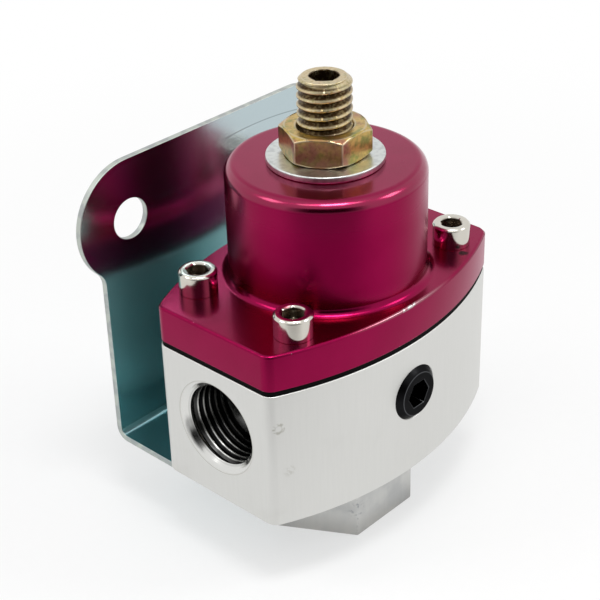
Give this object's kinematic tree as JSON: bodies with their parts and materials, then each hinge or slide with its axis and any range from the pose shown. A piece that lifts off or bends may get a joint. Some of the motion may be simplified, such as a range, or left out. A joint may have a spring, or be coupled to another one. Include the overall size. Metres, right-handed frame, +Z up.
{
  "type": "fuel pressure regulator",
  "caption": "Diaphragm fuel pressure regulator: red spring bonnet on a bulged aluminium body with threaded ports, hex inlet, adjusting screw and sheet bracket.",
  "frame": {"origin": "on the regulator axis at the bottom face of the inlet fitting, the mouth of the inlet port", "axes": "+Z up along the adjusting screw, -X out of the left outlet, -Y out of the face with the gauge plug, +Y towards the bracket plate"},
  "size_m": [0.0654, 0.0503, 0.0857],
  "materials": {
    "red_anodised": "satin anodised red",
    "machined_aluminium": "fine brushed",
    "fitting_aluminium": "dull as drawn",
    "zinc_sheet": "bright clear zinc",
    "washer_zinc": "clear zinc",
    "yellow_zinc": "yellow chromate zinc",
    "nickel_screws": "nickel plated",
    "black_steel": "black oxide",
    "black_rubber": "fabric reinforced rubber",
    "valve_brass": "turned",
    "inner_steel": "plain"
  },
  "bodies": {
    "housing": {"body": "machined_aluminium", "bonnet": "red_anodised", "diaphragm": "black_rubber", "cover_screws": "nickel_screws", "gauge_plug": "black_steel", "inlet_fitting": "fitting_aluminium", "fitting_o_ring": "black_rubber", "bracket": "zinc_sheet", "valve_seat": "valve_brass", "poppet_spring": "inner_steel", "main_spring": "inner_steel"},
    "button": {"spring_button": "inner_steel"},
    "adjuster": {"adjusting_screw": "yellow_zinc"},
    "washer": {"flat_washer": "washer_zinc"},
    "nut": {"lock_nut": "yellow_zinc"},
    "diaphragm_stack": {"push_stem": "valve_brass", "lower_plate": "fitting_aluminium", "upper_plate": "fitting_aluminium", "stem_nut": "inner_steel"},
    "valve": {"valve_poppet": "valve_brass", "poppet_seal": "black_rubber"}
  },
  "joints": [
    {"name": "adjust_lift", "type": "slide", "parent": "housing", "child": "button", "axis": [0, 0, 1], "range_m": [-0.00476, 0.00317], "deforming": ["main_spring"]},
    {"name": "adjust_turn", "type": "hinge", "parent": "button", "child": "adjuster", "pos_m": [0, 0, 0.075], "axis": [0, 0, 1], "range_deg": [-1080, 720]},
    {"name": "nut_lift", "type": "slide", "parent": "housing", "child": "washer", "axis": [0, 0, 1], "range_m": [0, 0.00317]},
    {"name": "nut_turn", "type": "hinge", "parent": "washer", "child": "nut", "pos_m": [0, 0, 0.074], "axis": [0, 0, 1], "range_deg": [0, 720]},
    {"name": "diaphragm_lift", "type": "slide", "parent": "housing", "child": "diaphragm_stack", "axis": [0, 0, 1], "range_m": [0, 0.001], "stiffness_N_per_m": 5000, "springref_m": -0.004, "deforming": ["diaphragm", "main_spring"]},
    {"name": "valve_lift", "type": "slide", "parent": "housing", "child": "valve", "axis": [0, 0, 1], "range_m": [0, 0.001], "deforming": ["poppet_spring"]}
  ],
  "couplings": [
    {"joint": "adjust_lift", "follows": "adjust_turn", "m_per_rad": 0.00025266},
    {"joint": "nut_lift", "follows": "nut_turn", "m_per_rad": 0.00025266},
    {"joint": "valve_lift", "follows": "diaphragm_lift", "ratio": 1}
  ]
}
